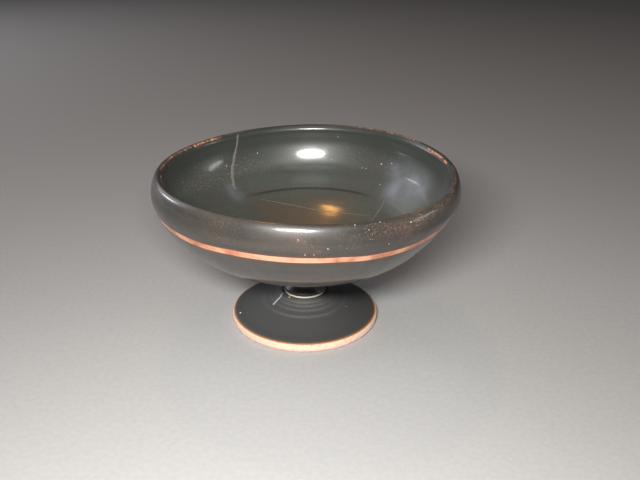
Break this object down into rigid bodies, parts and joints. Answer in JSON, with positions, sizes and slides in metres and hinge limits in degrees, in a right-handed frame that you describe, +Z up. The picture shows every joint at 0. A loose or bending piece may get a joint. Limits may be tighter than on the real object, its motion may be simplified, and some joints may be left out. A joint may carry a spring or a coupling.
{
  "type": "handleless kylix cup",
  "caption": "Shallow wheel-thrown ceramic drinking cup with an incurved rim, a short stem and a broad disc foot, in black gloss with reserved orange clay bands.",
  "frame": {"origin": "centre of the foot's resting ring, on the table", "axes": "+Z up along the axis that the cup is turned about; the cup is round, so +X and +Y are any two level directions"},
  "size_m": [0.1224, 0.1224, 0.067],
  "materials": {
    "black_gloss": "fired black gloss, semi-gloss, worn brown along the rim",
    "bare_clay": "bare orange fired clay, matt, in the reserved bands and under the foot",
    "mend_filler": "pale grey filler, matt, in the seams of the old mends"
  },
  "bodies": {
    "root": {"kylix_cup": "black_gloss"}
  },
  "joints": []
}
